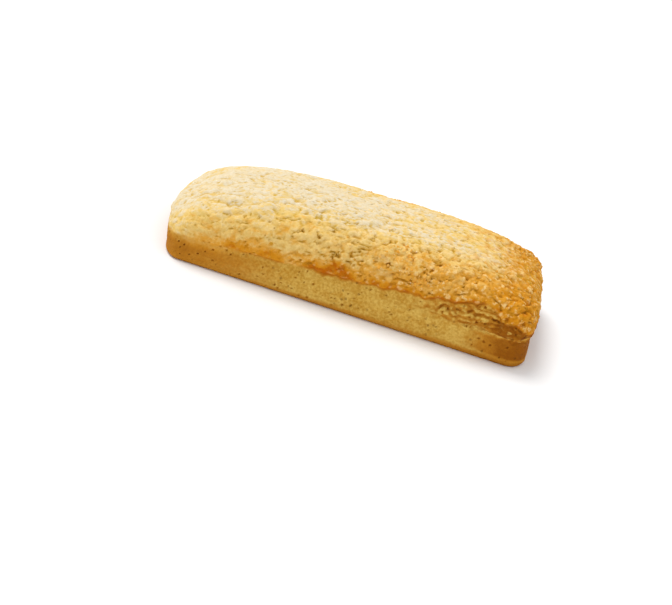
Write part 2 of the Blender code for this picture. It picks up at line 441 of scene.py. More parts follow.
def plate(point):
    """Height of the crust plate at a point, from about -1 to 1, and how open its edge is."""
    ragged = point + PLATE_RAGGED_REACH * noise.noise_vector(shifted(point, PLATE_RAGGED))
    place = shifted(ragged, PLATES)
    distances, centres = noise.voronoi(place)
    chance = noise.cell_vector(centres[0] * PLATE_SPREAD)
    off_centre = place - centres[0]
    height = 0.5 * chance.x + chance.y * off_centre.x + chance.z * off_centre.y
    edge = 1.0 - smooth(0.0, PLATE_GAP_WIDTH, distances[1] - distances[0])
    return height, edge * smooth(-0.1, 0.25, wave(point, PLATE_GAP_PATCHES))


def granule(point):
    """Height of the grain at a point, from about -0.5 to 1."""
    distances, centres = noise.voronoi(shifted(point, GRANULES))
    return 0.7 - 1.6 * distances[0] ** 2 + 0.35 * noise.cell(centres[0] * CHANCE_SPREAD)


def cell_chance(centre):
    """A chance from 0 to 1 that belongs to one cell, told by its middle."""
    return 0.5 + 0.5 * noise.cell(centre * CHANCE_SPREAD)


def pit(point, pits, openness):
    """Depth, from 0 to 1, of the small hole at a point."""
    place = Vector([co / (size * MM) for co, size in zip(point, pits.cell)])
    distances, centres = noise.voronoi(place)
    chance = cell_chance(centres[0])
    if chance > pits.share * openness:
        return 0.0
    reach = pits.radius * (0.5 + 0.5 * chance / pits.share)
    return max(1.0 - (distances[0] / reach) ** 2, 0.0)


def wall_pit(point, openness):
    """Depth, from 0 to 1, of the small hole in the wall at a point."""
    run = point.x + WALL_RUN_PER_Y * point.y
    place = Vector((run / (WALL_PITS.cell[0] * MM), 0.5, point.z / (WALL_PITS.cell[2] * MM)))
    centre = noise.voronoi(place)[1][0]
    chance = cell_chance(centre)
    if chance > WALL_PITS.share * openness:
        return 0.0
    reach = WALL_PITS.radius * (0.4 + 0.6 * chance / WALL_PITS.share)
    distance = math.hypot(place.x - centre.x, place.z - centre.z)
    return max(1.0 - (distance / reach) ** 2, 0.0)


def crag_share(point):
    """How much of the solid's crags is kept, by the place along the bar and over the rim."""
    share = between(CRAG_SHARE, CRAG_SHARE_END, smooth(*CRAG_END, point.x))
    rim_share = between(RIM_SHARE, LOOKS_RIM_SHARE, smooth(*LOOKS_RIM_ENDS, point.x))
    over_rim = point.z - rim_height(point.x)
    return share * between(rim_share, 1.0, smooth(0.0, RIM_BAND, over_rim))


def crown_share(point, lively):
    """How much of the relief is kept on top of the crown and at the back."""
    share = 1.0 - (1.0 - CROWN_SHARE) * smooth(*CROWN_SIDES, abs(point.y)) * lively
    back = smooth(*BACK_SIDES, point.y) * (1.0 - smooth(*BACK_LIVELY_ENDS, point.x))
    return share * between(1.0, BACK_SHARE, back)


def crust_pits(point, place, lively):
    """Depths, from 0 to 1, of the larger and the smaller hole at a point of the crust."""
    ragged = place + PIT_RAGGED_REACH * noise.noise_vector(shifted(place, GRANULES))
    hole = pit(ragged, CRUST_PITS, between(PIT_CALM_OPENNESS, 1.0, lively))
    openness = 1.0 + SMALL_PIT_GAIN * smooth(*SMALL_PIT_GAIN_ENDS, point.x)
    return hole, pit(place, SMALL_PITS, openness)


def crust_relief(point):
    """How far the crust stands out of the smooth dome, and how deep a hole it has there."""
    warp = LUMP_WARP_REACH * wave(point, LUMP_WARP)
    place = point + Vector((0.0, warp, warp))
    place += CRAG_RAGGED_REACH * noise.noise_vector(shifted(point, CRAG_RAGGED))
    over_edge = point.z - edge_height(point)
    lively = smooth(*CALM_ENDS, point.x)
    crown = crown_share(point, lively)
    crags = LUMP_RELIEF * billow(place, LUMPS) + CRUMB_RELIEF * billow(place, CRUMBS)
    crags -= CRACK_DEPTH * crack(place, CRACKS, CRACK_WIDTH, CRACK_PATCHES, -0.05)

    height, edge = plate(place)
    small_gap = crack(place, FINE_CRACKS, FINE_CRACK_WIDTH, FINE_CRACK_PATCHES, 0.0)
    fine = PLATE_RELIEF * height - PLATE_GAP_DEPTH * edge + GRANULE_RELIEF * granule(place)
    fine -= FINE_CRACK_DEPTH * small_gap
    fine_share = between(FINE_CALM_SHARE, 1.0, lively)
    fine_share *= crown * between(FINE_EDGE_SHARE, 1.0, smooth(0.0, FINE_EDGE_BAND, over_edge))
    fine_share *= 1.0 + FINE_END_GAIN * smooth(*CRAG_END, point.x)

    hole, small_hole = crust_pits(point, place, lively)
    ridge = math.exp(-(over_edge / RIDGE_HEIGHT) ** 2) * (0.5 + wave(point, RIDGE_PATTERN))
    relief = SWELL_RELIEF * wave(point, SWELL) + crag_share(point) * crown * crags
    relief += fine_share * fine + RIDGE_RELIEF * ridge
    pits = CRUST_PIT_DEPTH * hole + SMALL_PIT_DEPTH * small_hole
    relief -= between(PIT_CALM_SHARE, 1.0, lively) * pits
    return relief, min(hole + 0.8 * small_hole + fine_share * (small_gap + 0.5 * edge), 1.0)


def torn_at(point):
    """How torn the wall is: from the rim down to the crease, and less on the end wall."""
    torn = smooth(*TEAR_ENDS, point.x) * smooth(*TEAR_HEIGHTS, point.z)
    return torn * (1.0 - TEAR_END_LOSS * smooth(*TEAR_END_WALL, point.x))


def end_hole(point):
    """Depth, from 0 to 1, of the dark hole at the front corner of the +X end."""
    if point.y > END_HOLE_MOST_Y:
        return 0.0
    along = (point.x - END_HOLE[0]) / END_HOLE_REACH[0]
    up = (point.z - END_HOLE[1]) / END_HOLE_REACH[1]
    return max(1.0 - along ** 2 - up ** 2, 0.0)


def fold(point):
    """Height, from 0 to 1, of the thin raised edges that wander over the torn dough."""
    warped = point + FOLD_WARP_REACH * noise.noise_vector(shifted(point, FOLD_WARP))
    return max(1.0 - abs(wave(warped, FOLDS)) / FOLD_WIDTH, 0.0)


def ledge(point):
    """How near, from 0 to 1, the ledge's groove is, and how far below the ledge the point is."""
    foot = on_table(point)
    line = LEDGE_LOW + LEDGE_RISE * smooth(*LEDGE_RISE_ENDS, point.x)
    line += LEDGE_WOBBLE * wave(foot, LEDGE_PATTERN) + LEDGE_JAG * wave(foot, LEDGE_JAG_PATTERN)
    there = smooth(*LEDGE_ENDS, point.x) * (1.0 - smooth(*LEDGE_FAR_ENDS, point.x))
    groove = there * math.exp(-((point.z - line) / LEDGE_GROOVE_WIDTH) ** 2)
    groove *= smooth(-0.15, 0.25, wave(foot, LEDGE_GAPS))
    below = (line - point.z) / MM
    return groove, there * smooth(0.2, 0.8, below) * (1.0 - smooth(1.0, 4.0, below))


def lip_at(point):
    """How near, from 0 to 1, the lip's middle is, and how far into its reach along the bar."""
    height = LIP_HEIGHT + LIP_WOBBLE * wave(on_table(point), LIP_PATTERN)
    near_end = smooth(*LIP_ENDS, point.x)
    near_end *= 1.0 - LIP_BACK_LOSS * smooth(*LIP_BACK_SIDES, point.y)
    return near_end * math.exp(-((point.z - height) / LIP_WIDTH) ** 2), near_end


def wall_relief(point):
    """How far the wall stands out at a point, and how deep a hole it has there."""
    torn = torn_at(point)
    tear = billow(point, TEARS)
    groove, below_ledge = ledge(point)
    openness = 0.3 + 0.7 * smooth(-0.1, 0.3, wave(point, WALL_PIT_PATCHES)) + 0.3 * torn
    openness += 0.3 * smooth(*WALL_PIT_GAIN_ENDS, point.x)
    hole = wall_pit(point, min(openness, 1.0))
    lip, near_end = lip_at(point)
    recess = near_end * math.exp(-((point.z - RECESS_HEIGHT) / RECESS_WIDTH) ** 2)
    grain_relief = WALL_GRAIN_RELIEF + TORN_GRAIN_RELIEF * torn
    relief = WALL_RELIEF * wave(point, WALL_WAVES) + grain_relief * granule(point)
    folded = smooth(*TEAR_ENDS, point.x) * max(below_ledge, smooth(*LEDGE_FAR_ENDS, point.x) * torn)
    relief += torn * TEAR_SHARE * TEAR_RELIEF * tear + FOLD_RELIEF * folded * fold(point)
    relief += LEDGE_STEP * below_ledge - LEDGE_GROOVE * groove
    corner_hole = end_hole(point)
    relief += LIP_RELIEF * lip - RECESS_DEPTH * recess
    relief -= WALL_PIT_DEPTH * hole + END_HOLE_DEPTH * corner_hole
    hollow = hole + 1.5 * corner_hole + 0.6 * torn * smooth(-0.2, -0.7, tear)
    return relief, min(hollow + 0.45 * groove * smooth(-0.2, 0.3, wave(point, RIDGE_PATTERN)), 1.0)


# -------- colour zones

# The rim's browner stretches: middle, half width and height in mm, and how brown, 0 to 1.
RIM_PATCHES = (
    (-31.0, 5.5, 2.6, 0.64),
    (-22.0, 5.5, 2.6, 0.74),
    (-4.3, 9.5, 3.2, 0.95),
    (14.0, 14.0, 1.5, 0.85),
    (32.0, 11.0, 1.4, 0.95),
    (47.5, 8.0, 2.9, 0.72),
)
BACK_PATCH_BROWN = 0.75
RIM_PATCH_EDGE = Pattern((4.5, 4.5, 4.5), 23.0)
RIM_PATCH_SOFTNESS = 1.4
FOOT_BAND_MM = 1.9
BACK_PATCHES = Pattern((13.0, 13.0, 40.0), 21.0)
BACK_PATCH_HEIGHT = 2.0
BACK_PATCH_ENDS = mm(46.0, 38.0)


# Where the rim is soft, and how wide the crust's colour fades there and elsewhere.
SOFT_RIM_START = mm(-48.5, -44.0)
SOFT_RIM_END = mm(-38.0, -26.0)
SOFT_RIM_LINE_MM = 2.2
RIM_LINE_MM = 0.45

# How golden the crust is on the crown, and what each other place adds. The crown is kept pale, and the
# shoulders grow paler towards -X: painted highlight, where the key light falls most.
GOLD_CROWN = (0.06, 0.13)
GOLD_SHOULDER = 0.60
GOLD_RIGHT = 0.29
GOLD_LEFT = 0.09
GOLD_LOW = 0.36

# How brown each place is from baking. Near +X, the band just above the lip and the end's lower corner
# are darkened further as painted shade.
BROWN_RIGHT = 0.58
BROWN_LEFT = 0.30
BROWN_TORN = 0.40
BROWN_FOOT = 0.5
LIP_SHADE_BAND_MM = 10.3
LIP_SHADE_BAND_WIDTH_MM = 1.1


def golden_at(across, x, over_edge):
    """How golden the crust is, from 0 to 1, with over_edge the height over the edge in mm. Its pale
    crown is a painted highlight.
    """
    crown = between(*GOLD_CROWN, smooth(-20.0 * MM, 10.0 * MM, x))
    right = smooth(0.0, 50.0 * MM, x)
    left = smooth(-36.0 * MM, -52.0 * MM, x)
    shoulder = smooth(0.35 - 0.17 * smooth(-30.0 * MM, 0.0, x), 1.0, abs(across))
    shoulder *= 1.0 - 0.45 * left - 0.15 * smooth(-10.0 * MM, -35.0 * MM, x)
    low = smooth(5.0, 0.0, over_edge) * (1.0 - 0.85 * left)
    gold = crown + GOLD_SHOULDER * shoulder + GOLD_RIGHT * right + GOLD_LEFT * left + GOLD_LOW * low
    return min(max(gold, 0.0), 1.0)


def crust_share(x, over_edge):
    """1 on the crust and 0 on the wall, with over_edge the height over the edge in mm."""
    soft = smooth(*SOFT_RIM_START, x) * (1.0 - smooth(*SOFT_RIM_END, x))
    line = between(RIM_LINE_MM, SOFT_RIM_LINE_MM, soft)
    return smooth(-2.0 * line, 0.3 * line, over_edge)


def rim_patch(point):
    """The height in mm over the rim that a rim patch reaches at a point, and how brown it is."""
    ragged = 0.9 + 0.6 * wave(point, RIM_PATCH_EDGE)
    if point.y > 0.0:
        amount = smooth(-0.1, 0.25, wave(point, BACK_PATCHES)) * smooth(*BACK_PATCH_ENDS, abs(point.x))
        return BACK_PATCH_HEIGHT * amount * ragged, BACK_PATCH_BROWN * amount
    reach = 0.0
    brown = 0.0
    for middle, half_width, height, most_brown in RIM_PATCHES:
        inside = 1.0 - smooth(0.2, 1.2, abs(point.x / MM - middle) / half_width)
        reach = max(reach, height * inside)
        brown = max(brown, most_brown * smooth(0.0, 0.6, inside))
    return reach * ragged, brown


def end_brown_and_shade(point, low):
    """How dark the lower corner of the +X end is, with low the share below the edge: brown from
    baking, and painted shade, as this corner faces away from the key light.
    """
    above_foot = smooth(FOOT_BAND_MM - 0.7, FOOT_BAND_MM + 0.7, point.z / MM)
    dark = smooth(30.0 * MM, 53.0 * MM, point.x) * low * above_foot
    # Painted shade: darker towards the foot, and less dark on the lip, which stands out into the
    # light.
    dark *= 0.75 + 0.25 * smooth(7.0 * MM, 3.5 * MM, point.z)
    return dark * (1.0 - 0.6 * lip_at(point)[0])


def torn_brown_and_shade(point, on_wall):
    """How brown the torn dough is, most of all under the hood near +X, where the band just above the
    lip is darkened further as painted shade.
    """
    near_end = smooth(40.0 * MM, 47.0 * MM, point.x)
    # Painted shade: a dark band just above the lip.
    hood = math.exp(-((point.z / MM - LIP_SHADE_BAND_MM) / LIP_SHADE_BAND_WIDTH_MM) ** 2)
    torn = smooth(*TEAR_ENDS, point.x) * smooth(*TEAR_HEIGHTS, point.z) * on_wall
    return torn * (BROWN_TORN + 0.30 * near_end + 0.5 * near_end * hood)


def brown_and_shade_at(point, drop, over_edge):
    """How brown the surface is, from 0 to 1, with over_edge the height over the edge in mm. Most of it
    is brown from baking; at the +X end's lower corner and in the band just above the lip it is also
    painted shade.
    """
    reach, patch = rim_patch(point)
    patch *= 1.0 - smooth(reach - RIM_PATCH_SOFTNESS, reach + RIM_PATCH_SOFTNESS, over_edge)
    patch *= smooth(-1.6, -0.1, over_edge)
    on_wall = smooth(0.3, -0.5, over_edge)
    low = smooth(-0.6, -3.0, over_edge)
    right = smooth(32.0 * MM, 50.0 * MM, point.x) * (BROWN_RIGHT - 0.1 * on_wall)
    left = smooth(-4.0 * MM, -46.0 * MM, point.x) * BROWN_LEFT * (1.0 + low) * on_wall
    foot = (BROWN_FOOT + 0.15 * smooth(20.0 * MM, 45.0 * MM, point.x)) * smooth(0.80, 0.92, drop)
    return min(max(patch, right, left, foot, end_brown_and_shade(point, low), torn_brown_and_shade(point, on_wall)), 1.0)


# -------- the biscuit's mesh


def new_piece(name, mesh):
    """Turns a bmesh into an object of the scene."""
    data = bpy.data.meshes.new(name)
    mesh.to_mesh(data)
    mesh.free()
    piece = bpy.data.objects.new(name, data)
    bpy.context.scene.collection.objects.link(piece)
    return piece


def make_dome(mesh):
    """A grid over the plan, raised into the dome. Returns each vertex's stations."""
    along = even_stations(STEPS_ALONG, LENGTH / 2, end_profile)
    across = even_stations(STEPS_ACROSS, WIDTH / 2, side_profile)
    bmesh.ops.create_grid(mesh, x_segments=STEPS_ALONG, y_segments=STEPS_ACROSS, size=1.0)
    stations = {}
    for vert in mesh.verts:
        column = round((vert.co.x + 1.0) / 2 * STEPS_ALONG)
        row = round((vert.co.y + 1.0) / 2 * STEPS_ACROSS)
        stations[vert] = (along[column], across[row])
        vert.co = dome_point(along[column], across[row])
    return stations


def along_rim(vert, first_edge):
    """The rim vertex that lies a few edges away from this one, past the first edge."""
    edge = first_edge
    for _ in range(OUTWARD_REACH_EDGES):
        vert = edge.other_vert(vert)
        edge = next(other for other in vert.link_edges if other.is_boundary and other is not edge)
    return vert


def outward_at(vert):
    """The horizontal direction that leads straight out of the plan at a rim vertex."""
    ends = [along_rim(vert, edge).co for edge in vert.link_edges if edge.is_boundary]
    run = ends[1] - ends[0]
    out = Vector((run.y, -run.x, 0.0)).normalized()
    return out if out.dot(vert.co) > 0 else -out


def extrude_wall(mesh, stations):
    """Draws the rim down to the table, ring by ring. Returns drops and the foot's edges."""
    edges = [edge for edge in mesh.edges if edge.is_boundary]
    rim = {
        vert: (vert.co.copy(), outward_at(vert), stations[vert])
        for edge in edges
        for vert in edge.verts
    }
    drops = {vert: 0.0 for vert in rim}
    for ring in range(1, WALL_RINGS + 1):
        drop = ring / WALL_RINGS
        made = bmesh.ops.extrude_edge_only(mesh, edges=edges)["geom"]
        made_edges = [item for item in made if isinstance(item, bmesh.types.BMEdge)]
        edges = [edge for edge in made_edges if edge.is_boundary]
        # The new ring lies on the last one until it is moved, so places tell which is which.
        sources = {tuple(vert.co): facts for vert, facts in rim.items()}
        rim = {vert: sources[tuple(vert.co)] for edge in edges for vert in edge.verts}
        for vert, (top, outward, station) in rim.items():
            vert.co = top.lerp(foot_point(top), drop) + outward * wall_offset(top, drop)
            drops[vert] = drop
            stations[vert] = station
    return drops, edges


def fill_underside(mesh, foot_edges, stations, drops):
    """A coarser grid within the foot, bridged to it while it lies lower, so that the faces
    between them don't cross, and then raised to the table."""
    made = bmesh.ops.create_grid(
        mesh, x_segments=UNDERSIDE_STEPS_ALONG, y_segments=UNDERSIDE_STEPS_ACROSS, size=1.0
    )["verts"]
    for vert in made:
        stations[vert] = (vert.co.x, vert.co.y)
        drops[vert] = 1.0
        foot = foot_point(Vector((*plan_point(vert.co.x, vert.co.y), 0.0)))
        vert.co.x = foot.x * (1.0 - UNDERSIDE_INSET / (LENGTH / 2))
        vert.co.y = foot.y * (1.0 - UNDERSIDE_INSET / (WIDTH / 2))
        vert.co.z = -BRIDGING_DEPTH
    around = dict.fromkeys(edge for vert in made for edge in vert.link_edges)
    inner = [edge for edge in around if edge.is_boundary]
    bmesh.ops.bridge_loops(mesh, edges=foot_edges + inner)
    for vert in made:
        vert.co.z = 0.0


def evened(mesh, values):
    """The values after each is evened out, a number of times, with those beside it."""
    mesh.verts.index_update()
    edges = np.array([[vert.index for vert in edge.verts] for edge in mesh.edges])
    count = len(values)
    beside = np.bincount(edges.ravel(), minlength=count)
    for _ in range(EVENING_ROUNDS):
        sums = np.bincount(edges[:, 0], weights=values[edges[:, 1]], minlength=count)
        sums += np.bincount(edges[:, 1], weights=values[edges[:, 0]], minlength=count)
        values = 0.5 * values + 0.5 * sums / beside
    return values


def raise_relief(mesh, stations, drops):
    """Moves each vertex out by its relief, and returns the colour fields of each."""
    bmesh.ops.recalc_face_normals(mesh, faces=mesh.faces)
    mesh.normal_update()
    rows = []
    moves = []
    for vert in mesh.verts:
        across = stations[vert][1]
        drop = drops.get(vert, 0.0)
        on_wall = wall_share(vert.co, drop)
        crust_move, crust_hollow = crust_relief(vert.co) if on_wall < 1.0 else (0.0, 0.0)
        wall_move, wall_hollow = wall_relief(vert.co) if on_wall > 0.0 else (0.0, 0.0)
        end = 1.0 - smooth(*RELIEF_END_DROPS, drop)
        moves.append(end * ((1.0 - on_wall) * crust_move + on_wall * wall_move))
        over_edge = (vert.co.z - edge_height(vert.co)) / MM
        rows.append({
            "crust": crust_share(vert.co.x, over_edge),
            # How deep in a hole or gap: the shader darkens the colour there, painted shade.
            "hollow": (1.0 - on_wall) * crust_hollow + end * on_wall * wall_hollow,
            "golden": golden_at(across, vert.co.x, over_edge),
            "baked": brown_and_shade_at(vert.co, drop, over_edge),
            "torn": on_wall * torn_at(vert.co),
        })
    # How far each vertex stands out: the shader paints highlight where it stands out and shade where
    # it lies low.
    raised = (np.array(moves) - evened(mesh, np.array(moves))) / RAISED_UNIT
    for vert, row, move, height in zip(mesh.verts, rows, moves, raised):
        vert.co = vert.co + vert.normal * move
        row["raised"] = min(max(float(height), -1.0), 1.0)
    return rows


def fit_to_cad(mesh):
    """Fits the mesh's own box just within the CAD solid's."""
    low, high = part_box(NODE)
    places = np.array([vert.co for vert in mesh.verts])
    own_low = places.min(0)
    own_high = places.max(0)
    for vert in mesh.verts:
        for axis in range(3):
            part = (vert.co[axis] - own_low[axis]) / (own_high[axis] - own_low[axis])
            start = low[axis] + (BOX_MARGIN if axis < 2 else 0.0)
            end = high[axis] - BOX_MARGIN
            vert.co[axis] = start + part * (end - start)


def make_biscuit():
    """The whole bar as one closed mesh, with its colour fields as attributes."""
    mesh = bmesh.new()
    stations = make_dome(mesh)
    drops, foot_edges = extrude_wall(mesh, stations)
    fill_underside(mesh, foot_edges, stations, drops)
    rows = raise_relief(mesh, stations, drops)
    fit_to_cad(mesh)
    piece = new_piece("crust_and_wall", mesh)
    for name in rows[0]:
        field = piece.data.attributes.new(name, "FLOAT", "POINT")
        field.data.foreach_set("value", [row[name] for row in rows])
    piece.data.shade_smooth()
    return piece


# -------- material


class Shader:
    """Adds and links the nodes of one procedural material. Inputs take values or sockets."""

    def __init__(self, name):
        self.material = bpy.data.materials.new(name)
        self.material.use_nodes = True
        self.tree = self.material.node_tree
        self.principled = self.tree.nodes["Principled BSDF"]
        place = self.add("ShaderNodeTexCoord", {})["Object"]
        inputs = {0: place, "Scale": 1.0 / MM}
        self.place_mm = self.add("ShaderNodeVectorMath", inputs, operation="SCALE")["Vector"]
        parts = self.add("ShaderNodeSeparateXYZ", {"Vector": self.place_mm})
        self.along = parts["X"]
        self.across = parts["Y"]

    def feed(self, node, inputs):
        """Gives each named input its value or its link."""
        for name, value in inputs.items():
            if isinstance(value, bpy.types.NodeSocket):
                self.tree.links.new(value, node.inputs[name])
            else:
                node.inputs[name].default_value = value

    def add(self, kind, inputs, **settings):
        """Adds a node and returns its outputs."""
        node = self.tree.nodes.new(kind)
        for name, value in settings.items():
            setattr(node, name, value)
        self.feed(node, inputs)
        return node.outputs

    def math(self, operation, first, second=0.0, clamp=False):
        inputs = {0: first, 1: second}
        return self.add("ShaderNodeMath", inputs, operation=operation, use_clamp=clamp)["Value"]

    def times(self, first, *others):
        for other in others:
            first = self.math("MULTIPLY", first, other)
        return first

    def plus(self, first, *others):
        for other in others:
            first = self.math("ADD", first, other)
        return first

    def minus(self, first, second):
        return self.math("SUBTRACT", first, second)

    def field(self, name):
        return self.add("ShaderNodeAttribute", {}, attribute_name=name)["Fac"]

    def noise(self, wave_mm, detail=2.0, stretch=(1.0, 1.0, 1.0)):
        """Noise about 0.5, with a wavelength in mm, drawn out along an axis by its stretch."""
        inputs = {0: self.place_mm, 1: stretch}
        place = self.add("ShaderNodeVectorMath", inputs, operation="DIVIDE")["Vector"]
        inputs = {"Vector": place, "Scale": 1.0 / wave_mm, "Detail": detail}
        return self.add("ShaderNodeTexNoise", inputs)["Fac"]

    def ramp(self, value, low, high, start=0.0, end=1.0):
        """Maps low..high to start..end smoothly, and holds the ends."""
        inputs = {"Value": value, "From Min": low, "From Max": high, "To Min": start, "To Max": end}
        return self.add("ShaderNodeMapRange", inputs, interpolation_type="SMOOTHSTEP")["Result"]

    def mix(self, share, first, second, blend="MIX"):
        inputs = {"Factor": share, "A": first, "B": second}
        return self.add("ShaderNodeMix", inputs, data_type="RGBA", blend_type=blend)["Result"]

    def cells(self, cell_mm):
        """Cells that fill space: the distance to each one's middle, and its own chance."""
        cells = self.add("ShaderNodeTexVoronoi", {"Vector": self.place_mm, "Scale": 1.0 / cell_mm})
        parts = self.add("ShaderNodeSeparateColor", {"Color": cells["Color"]})
        return cells["Distance"], parts["Red"]

    def dots(self, cell_mm, radius, share):
        """Round dots, one at most in each cell: 1 at a dot's middle, 0 outside it."""
        distance, chance = self.cells(cell_mm)
        near = self.ramp(distance, 0.35 * radius, radius, 1.0, 0.0)
        return self.times(near, self.math("LESS_THAN", chance, share))


def colour(red, green, blue):
    """A linear colour from the usual 0 to 255 display values."""
    parts = [value / 255 for value in (red, green, blue)]
    linear = [
        part / 12.92 if part <= 0.04045 else ((part + 0.055) / 1.055) ** 2.4 for part in parts
    ]
    return (*linear, 1.0)


# Pale cream, where the crust is least golden: on the crown it is a painted highlight.
PALE_CREAM = colour(226, 214, 188)
OLIVE_CREAM = colour(220, 190, 116)
LIGHT_GOLD = colour(233, 198, 120)
DEEP_GOLD = colour(224, 160, 58)
RIM_GOLD = colour(212, 140, 24)
RIM_BROWN = colour(186, 98, 2)
WALL_BROWN = colour(190, 126, 34)
# The darkest wall colour: brown from baking, and also the painted shade of the +X end's lower corner.
END_BROWN_AND_SHADE = colour(152, 88, 12)
WALL_LIGHT = colour(222, 184, 92)
WALL_TAN = colour(194, 142, 44)
# Inside the wall's pores: painted shade.
PORE_SHADE_BROWN = colour(136, 84, 22)
# The hollows' colours, olive to gold and darkest brown: painted shade.
HOLLOW_SHADE_OLIVE = colour(208, 170, 62)
HOLLOW_SHADE_GOLD = colour(194, 134, 26)
DEEP_HOLLOW_SHADE = colour(98, 48, 10)
# Crevices among the crags: painted shade.
CREVICE_SHADE_BROWN = colour(164, 106, 22)
# Pale flakes of crust, and also a painted highlight on what stands out.
FLAKE_AND_HIGHLIGHT_CREAM = colour(243, 208, 142)
CRUMB_CREAM = colour(232, 210, 150)
SUGAR_WHITE = colour(240, 222, 192)
SUGAR_CLEAR = colour(230, 196, 140)
# Darkens the wall's holes and gaps: painted shade.
WALL_HOLLOW_SHADE_TINT = (0.62, 0.50, 0.34, 1.0)
WALL_ROUGHNESS = 0.2
GRAIN_HEIGHT = 0.35 * MM
FINE_GRAIN_HEIGHT = 0.12 * MM
PORE_DEPTHS = mm(0.4, 0.1)
BUMP_STRENGTH = 0.8


class SkinShader(Shader):
    """The shader of crust and wall, with the fields and patterns they share."""

    def __init__(self):
        super().__init__("baked_crust_fine")
        for name in ("crust", "hollow", "golden", "baked", "raised", "torn"):
            setattr(self, name, self.field(name))
        self.blotches = self.noise(9.0, 3.0, (1.6, 1.0, 1.0))
        self.mottle = self.noise(1.9, 3.0, (1.3, 1.0, 1.0))
        self.grain = self.noise(0.7, 3.0)
        clusters = self.ramp(self.noise(7.0, 1.0), 0.36, 0.6)
        self.pores = self.times(self.dots(1.5, 0.30, 0.5), clusters)
        # The crust's hollow colour: painted shade.
        self.crust_hollow = self.mix(self.ramp(self.golden, 0.3, 0.9), HOLLOW_SHADE_OLIVE, HOLLOW_SHADE_GOLD)


def crust_colour(skin):
    """Cream to deep gold, uneven from grain to grain, with olive spots and toasted patches. It is
    painted paler where it stands out, a painted highlight, and takes the hollows' colour where it lies
    low, painted shade.
    """
    by_blotch = skin.ramp(skin.blotches, 0.3, 0.7, -0.15, 0.15)
    by_mottle = skin.ramp(skin.mottle, 0.3, 0.7, -0.18, 0.18)
    by_grain = skin.ramp(skin.cells(1.05)[1], 0.0, 1.0, -0.10, 0.10)
    uneven = skin.plus(by_blotch, by_mottle, by_grain)
    # Painted highlight: what stands out is paler.
    uneven = skin.minus(uneven, skin.times(skin.raised, 0.10))
    gold = skin.math("ADD", skin.golden, uneven, clamp=True)
    gold = skin.math("MAXIMUM", gold, skin.minus(skin.golden, 0.15))
    surface = skin.mix(skin.ramp(gold, 0.04, 0.56), PALE_CREAM, LIGHT_GOLD)
    surface = skin.mix(skin.ramp(gold, 0.48, 1.05), surface, DEEP_GOLD)

    # Painted shade: what lies low takes the hollows' colour.
    sunken_shade = skin.ramp(skin.raised, -0.9, 0.15, 0.65, 0.0)
    sunken_shade = skin.times(sunken_shade, skin.ramp(skin.golden, 0.2, 0.8, 1.0, 0.6))
    surface = skin.mix(sunken_shade, surface, skin.crust_hollow)
    spots = skin.ramp(skin.noise(3.2, 2.0, (1.4, 1.0, 1.0)), 0.54, 0.70)
    spots = skin.times(spots, skin.ramp(skin.along, -20.0, 25.0, 0.55, 0.2))
    surface = skin.mix(spots, surface, OLIVE_CREAM)
    toasted = skin.ramp(skin.noise(2.8, 2.0), 0.50, 0.66)
    toasted = skin.times(toasted, skin.ramp(skin.along, 12.0, 42.0, 0.0, 0.65))
    return skin.mix(toasted, surface, RIM_GOLD)


def wall_colour(skin):
    """Light gold to tan, mottled and grainy, and lighter where it stands out, a painted highlight."""
    by_mottle = skin.ramp(skin.mottle, 0.3, 0.7, 0.12, -0.12)
    by_grain = skin.ramp(skin.grain, 0.3, 0.7, 0.17, -0.17)
    tan = skin.plus(skin.noise(5.0, 3.0, (2.0, 2.0, 1.0)), by_mottle, by_grain)
    # Painted highlight: what stands out is lighter.
    tan = skin.minus(tan, skin.times(skin.raised, 0.30))
    return skin.mix(skin.ramp(tan, 0.0, 1.0), WALL_LIGHT, WALL_TAN)


def brown_and_shade_amount(skin):
    """How brown the surface is, from 0 to 1, painted shade near +X included: mottled, and less where
    it stands out, a painted highlight.
    """
    crust_mottle = skin.ramp(skin.mottle, 0.3, 0.6, 1.15, 0.75)
    wall_mottle = skin.ramp(skin.blotches, 0.3, 0.7, 1.12, 0.88)
    wall_mottle = skin.times(wall_mottle, skin.ramp(skin.mottle, 0.3, 0.7, 1.06, 0.94))
    mottled = skin.times(skin.minus(1.0, skin.crust), wall_mottle)
    mottled = skin.plus(skin.times(skin.crust, crust_mottle), mottled)
    brown = skin.math("MULTIPLY", skin.baked, mottled, clamp=True)
    # Painted highlight: less brown where it stands out.
    lighter = skin.times(skin.raised, skin.ramp(skin.crust, 0.0, 1.0, 0.4, 0.15))
    return skin.math("SUBTRACT", brown, lighter, clamp=True)


def browned_and_shaded(skin, surface, brown):
    """The surface with its first brown over it, and then its darkest, which on the wall is brown from
    baking and also painted shade.
    """
    first_brown = skin.mix(skin.crust, WALL_BROWN, RIM_GOLD)
    surface = skin.mix(skin.ramp(brown, 0.0, 0.6), surface, first_brown)
    darkest = skin.mix(skin.crust, END_BROWN_AND_SHADE, RIM_BROWN)
    return skin.mix(skin.ramp(brown, 0.45, 0.95), surface, darkest)


def flaked_and_highlit(skin, surface, brown):
    """The surface with the crust's pale flakes, most of them on what stands out: pale flakes of crust,
    and a painted highlight there.
    """
    flakes = skin.times(
        skin.ramp(skin.noise(1.5, 3.0), 0.50, 0.64),
        skin.ramp(skin.raised, -0.3, 0.5, 0.2, 1.0),
        skin.ramp(skin.along, -35.0, 30.0, 0.25, 0.85),
        skin.ramp(brown, 0.2, 0.9, 1.0, 0.45),
        skin.crust,
    )
    return skin.mix(flakes, surface, FLAKE_AND_HIGHLIGHT_CREAM)


